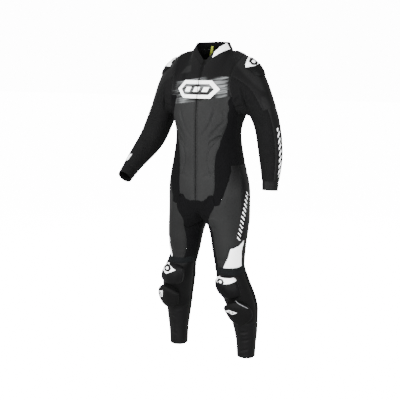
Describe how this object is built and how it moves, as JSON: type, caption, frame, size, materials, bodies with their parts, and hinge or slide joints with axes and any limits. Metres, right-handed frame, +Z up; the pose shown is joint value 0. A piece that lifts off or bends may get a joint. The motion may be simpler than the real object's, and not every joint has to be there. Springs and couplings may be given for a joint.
{
  "type": "motorcycle race suit",
  "caption": "One-piece leather race suit filled out with no wearer, with stand collar, front zip, stretch panels, shoulder and knee cups and knee sliders.",
  "frame": {"origin": "on the neck's axis at shoulder height, where a wearer holds the suit up", "axes": "+Z up, -Y the way the wearer faces, +X the wearer's left"},
  "size_m": [0.6834, 0.3116, 1.3491],
  "materials": {
    "leather_black": "grained black cowhide, semi-matt, lightly creased",
    "leather_charcoal": "grained dark grey cowhide, semi-matt",
    "leather_white": "smooth white leather with a faint sheen",
    "stretch_black": "matt black woven stretch fabric",
    "stretch_ribbed": "dark grey stretch with sewn accordion ribs",
    "cup_black": "satin black moulded armour cup",
    "slider_black": "matt black moulded puck",
    "zip_black": "black tape with a closed black zip",
    "loop_yellow": "pale yellow-green webbing"
  },
  "bodies": {
    "root": {"back": "leather_black", "calf_L": "leather_black", "calf_R": "leather_black", "chest_L": "leather_black", "chest_R": "leather_black", "collar_L": "leather_white", "collar_R": "leather_black", "collar_back": "leather_black", "cuff_L": "leather_black", "cuff_R": "leather_black", "flank_L": "stretch_black", "flank_R": "stretch_black", "front_L": "leather_charcoal", "front_R": "leather_charcoal", "front_leaf_L": "leather_charcoal", "front_leaf_R": "leather_charcoal", "groin": "stretch_black", "hamstring_L": "leather_black", "hamstring_R": "leather_black", "hanger_loop": "loop_yellow", "inner_thigh_L": "stretch_black", "inner_thigh_R": "stretch_black", "knee_back_L": "stretch_black", "knee_back_R": "stretch_black", "knee_cup_L": "cup_black", "knee_cup_R": "cup_black", "knee_front_L": "leather_black", "knee_front_R": "leather_black", "knee_side_L": "leather_white", "knee_side_R": "leather_white", "knee_slider_L": "slider_black", "knee_slider_R": "slider_black", "knee_stretch_L": "stretch_ribbed", "knee_stretch_R": "stretch_ribbed", "lumbar": "stretch_black", "seat_L": "leather_black", "seat_R": "leather_black", "shin_L": "leather_black", "shin_R": "leather_black", "shoulder_L": "leather_black", "shoulder_R": "leather_black", "shoulder_cup_L": "cup_black", "shoulder_cup_R": "cup_black", "side_stripe_L": "leather_black", "side_stripe_R": "leather_black", "sleeve_inner_L": "stretch_black", "sleeve_inner_R": "stretch_black", "sleeve_outer_L": "leather_black", "sleeve_outer_R": "leather_black", "thigh_L": "leather_charcoal", "thigh_R": "leather_charcoal", "zip": "zip_black"}
  },
  "joints": []
}
